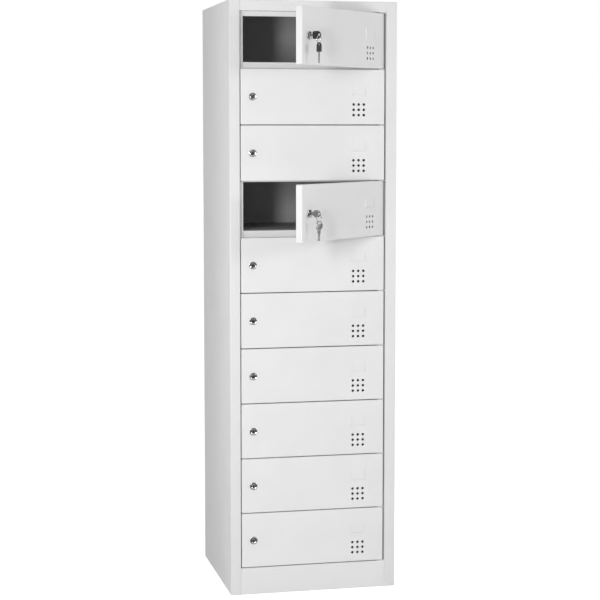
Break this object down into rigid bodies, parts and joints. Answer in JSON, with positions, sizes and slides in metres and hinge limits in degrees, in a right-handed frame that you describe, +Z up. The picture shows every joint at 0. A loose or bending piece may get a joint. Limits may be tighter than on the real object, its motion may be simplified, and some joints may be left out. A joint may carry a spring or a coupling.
{
  "type": "phone charging locker",
  "caption": "Tall free-standing steel locker with a column of small charging compartments, each with its own hinged door, cam lock, vent holes and label holder.",
  "frame": {"origin": "on the floor, at mid-width, in the middle of the plinth's foot flange, 15 mm behind the front face", "axes": "+Z up, front of the locker towards -Y, +X to the right as seen from the front"},
  "size_m": [0.53, 0.8123, 1.85],
  "materials": {
    "casing_enamel": "powder-coated sheet steel, satin, light grey-white",
    "inner_enamel": "powder-coated sheet steel, mid grey, matt",
    "door_enamel": "powder-coated sheet steel, satin, light grey-white",
    "lock_chrome": "nickel-plated die casting, bright",
    "zinc_steel": "zinc-plated steel, satin",
    "key_cap": "black moulded key head",
    "ring_wire": "nickel-plated spring wire",
    "rail_plastic": "black moulded housing"
  },
  "bodies": {
    "cabinet": {"left_side_panel": "casing_enamel", "right_side_panel": "casing_enamel", "top_panel": "casing_enamel", "back_panel": "casing_enamel", "plinth": "casing_enamel", "inner_rear_wall": "inner_enamel", "hinge_strip_1": "casing_enamel", "hinge_strip_2": "casing_enamel", "hinge_strip_3": "casing_enamel", "hinge_strip_4": "casing_enamel", "shelf_1": "inner_enamel", "shelf_2": "inner_enamel", "shelf_3": "inner_enamel", "shelf_4": "inner_enamel", "shelf_5": "inner_enamel", "shelf_6": "inner_enamel", "shelf_7": "inner_enamel", "shelf_8": "inner_enamel", "shelf_9": "inner_enamel", "bottom_panel": "inner_enamel", "power_rail": "rail_plastic", "mains_inlet": "rail_plastic"},
    "door_1": {"door_1": "door_enamel", "lock_housing_1": "lock_chrome"},
    "lock_1": {"lock_plug_1": "zinc_steel"},
    "door_2": {"door_2": "door_enamel", "lock_housing_2": "lock_chrome"},
    "lock_2": {"lock_plug_2": "zinc_steel"},
    "door_3": {"door_3": "door_enamel", "lock_housing_3": "lock_chrome"},
    "lock_3": {"lock_plug_3": "zinc_steel"},
    "door_4": {"door_4": "door_enamel", "lock_housing_4": "lock_chrome"},
    "lock_4": {"lock_plug_4": "zinc_steel"},
    "door_5": {"door_5": "door_enamel", "lock_housing_5": "lock_chrome"},
    "lock_5": {"lock_plug_5": "zinc_steel"},
    "door_6": {"door_6": "door_enamel", "lock_housing_6": "lock_chrome"},
    "lock_6": {"lock_plug_6": "zinc_steel"},
    "door_7": {"door_7": "door_enamel", "lock_housing_7": "lock_chrome"},
    "lock_7": {"lock_plug_7": "zinc_steel"},
    "door_8": {"door_8": "door_enamel", "lock_housing_8": "lock_chrome"},
    "lock_8": {"lock_plug_8": "zinc_steel"},
    "door_9": {"door_9": "door_enamel", "lock_housing_9": "lock_chrome"},
    "lock_9": {"lock_plug_9": "zinc_steel"},
    "door_10": {"door_10": "door_enamel", "lock_housing_10": "lock_chrome"},
    "lock_10": {"lock_plug_10": "zinc_steel"},
    "key_1": {"key_1": "key_cap"},
    "key_ring_1": {"key_ring_1": "ring_wire"},
    "spare_key_1": {"spare_key_1": "key_cap"},
    "key_4": {"key_4": "zinc_steel"},
    "key_ring_4": {"key_ring_4": "ring_wire"},
    "spare_key_4": {"spare_key_4": "zinc_steel"}
  },
  "joints": [
    {"name": "door_1_hinge", "type": "hinge", "parent": "cabinet", "child": "door_1", "pos_m": [0.214, -0.007, 1.729], "axis": [0, 0, 1], "range_deg": [-43, 67]},
    {"name": "lock_1_turn", "type": "hinge", "parent": "door_1", "child": "lock_1", "pos_m": [-0.0782, -0.29042, 1.729], "axis": [-0.682, 0.7314, 0], "range_deg": [0, 90]},
    {"name": "door_2_hinge", "type": "hinge", "parent": "cabinet", "child": "door_2", "pos_m": [0.214, -0.007, 1.556], "axis": [0, 0, 1], "range_deg": [0, 110]},
    {"name": "lock_2_turn", "type": "hinge", "parent": "door_2", "child": "lock_2", "pos_m": [-0.193, -0.015, 1.556], "axis": [0, 1, 0], "range_deg": [0, 90]},
    {"name": "door_3_hinge", "type": "hinge", "parent": "cabinet", "child": "door_3", "pos_m": [0.214, -0.007, 1.383], "axis": [0, 0, 1], "range_deg": [0, 110]},
    {"name": "lock_3_turn", "type": "hinge", "parent": "door_3", "child": "lock_3", "pos_m": [-0.193, -0.015, 1.383], "axis": [0, 1, 0], "range_deg": [0, 90]},
    {"name": "door_4_hinge", "type": "hinge", "parent": "cabinet", "child": "door_4", "pos_m": [0.214, -0.007, 1.21], "axis": [0, 0, 1], "range_deg": [-43, 67]},
    {"name": "lock_4_turn", "type": "hinge", "parent": "door_4", "child": "lock_4", "pos_m": [-0.0782, -0.29042, 1.21], "axis": [-0.682, 0.7314, 0], "range_deg": [0, 90]},
    {"name": "door_5_hinge", "type": "hinge", "parent": "cabinet", "child": "door_5", "pos_m": [0.214, -0.007, 1.037], "axis": [0, 0, 1], "range_deg": [0, 110]},
    {"name": "lock_5_turn", "type": "hinge", "parent": "door_5", "child": "lock_5", "pos_m": [-0.193, -0.015, 1.037], "axis": [0, 1, 0], "range_deg": [0, 90]},
    {"name": "door_6_hinge", "type": "hinge", "parent": "cabinet", "child": "door_6", "pos_m": [0.214, -0.007, 0.864], "axis": [0, 0, 1], "range_deg": [0, 110]},
    {"name": "lock_6_turn", "type": "hinge", "parent": "door_6", "child": "lock_6", "pos_m": [-0.193, -0.015, 0.864], "axis": [0, 1, 0], "range_deg": [0, 90]},
    {"name": "door_7_hinge", "type": "hinge", "parent": "cabinet", "child": "door_7", "pos_m": [0.214, -0.007, 0.691], "axis": [0, 0, 1], "range_deg": [0, 110]},
    {"name": "lock_7_turn", "type": "hinge", "parent": "door_7", "child": "lock_7", "pos_m": [-0.193, -0.015, 0.691], "axis": [0, 1, 0], "range_deg": [0, 90]},
    {"name": "door_8_hinge", "type": "hinge", "parent": "cabinet", "child": "door_8", "pos_m": [0.214, -0.007, 0.518], "axis": [0, 0, 1], "range_deg": [0, 110]},
    {"name": "lock_8_turn", "type": "hinge", "parent": "door_8", "child": "lock_8", "pos_m": [-0.193, -0.015, 0.518], "axis": [0, 1, 0], "range_deg": [0, 90]},
    {"name": "door_9_hinge", "type": "hinge", "parent": "cabinet", "child": "door_9", "pos_m": [0.214, -0.007, 0.345], "axis": [0, 0, 1], "range_deg": [0, 110]},
    {"name": "lock_9_turn", "type": "hinge", "parent": "door_9", "child": "lock_9", "pos_m": [-0.193, -0.015, 0.345], "axis": [0, 1, 0], "range_deg": [0, 90]},
    {"name": "door_10_hinge", "type": "hinge", "parent": "cabinet", "child": "door_10", "pos_m": [0.214, -0.007, 0.172], "axis": [0, 0, 1], "range_deg": [0, 110]},
    {"name": "lock_10_turn", "type": "hinge", "parent": "door_10", "child": "lock_10", "pos_m": [-0.193, -0.015, 0.172], "axis": [0, 1, 0], "range_deg": [0, 90]},
    {"name": "key_1_pull", "type": "slide", "parent": "lock_1", "child": "key_1", "axis": [0.682, -0.7314, 0], "range_m": [0, 0.03]},
    {"name": "key_ring_1_swing", "type": "hinge", "parent": "key_1", "child": "key_ring_1", "pos_m": [-0.05461, -0.31573, 1.727], "axis": [0.7314, 0.682, 0], "range_deg": [-40, 8]},
    {"name": "spare_key_1_swing", "type": "hinge", "parent": "key_ring_1", "child": "spare_key_1", "pos_m": [-0.05461, -0.31573, 1.704], "axis": [0.7314, 0.682, 0], "range_deg": [-40, 8]},
    {"name": "key_4_pull", "type": "slide", "parent": "lock_4", "child": "key_4", "axis": [0.682, -0.7314, 0], "range_m": [0, 0.03]},
    {"name": "key_ring_4_swing", "type": "hinge", "parent": "key_4", "child": "key_ring_4", "pos_m": [-0.05461, -0.31573, 1.2084], "axis": [0.7314, 0.682, 0], "range_deg": [-40, 8]},
    {"name": "spare_key_4_swing", "type": "hinge", "parent": "key_ring_4", "child": "spare_key_4", "pos_m": [-0.05461, -0.31573, 1.1854], "axis": [0.7314, 0.682, 0], "range_deg": [-40, 8]}
  ]
}
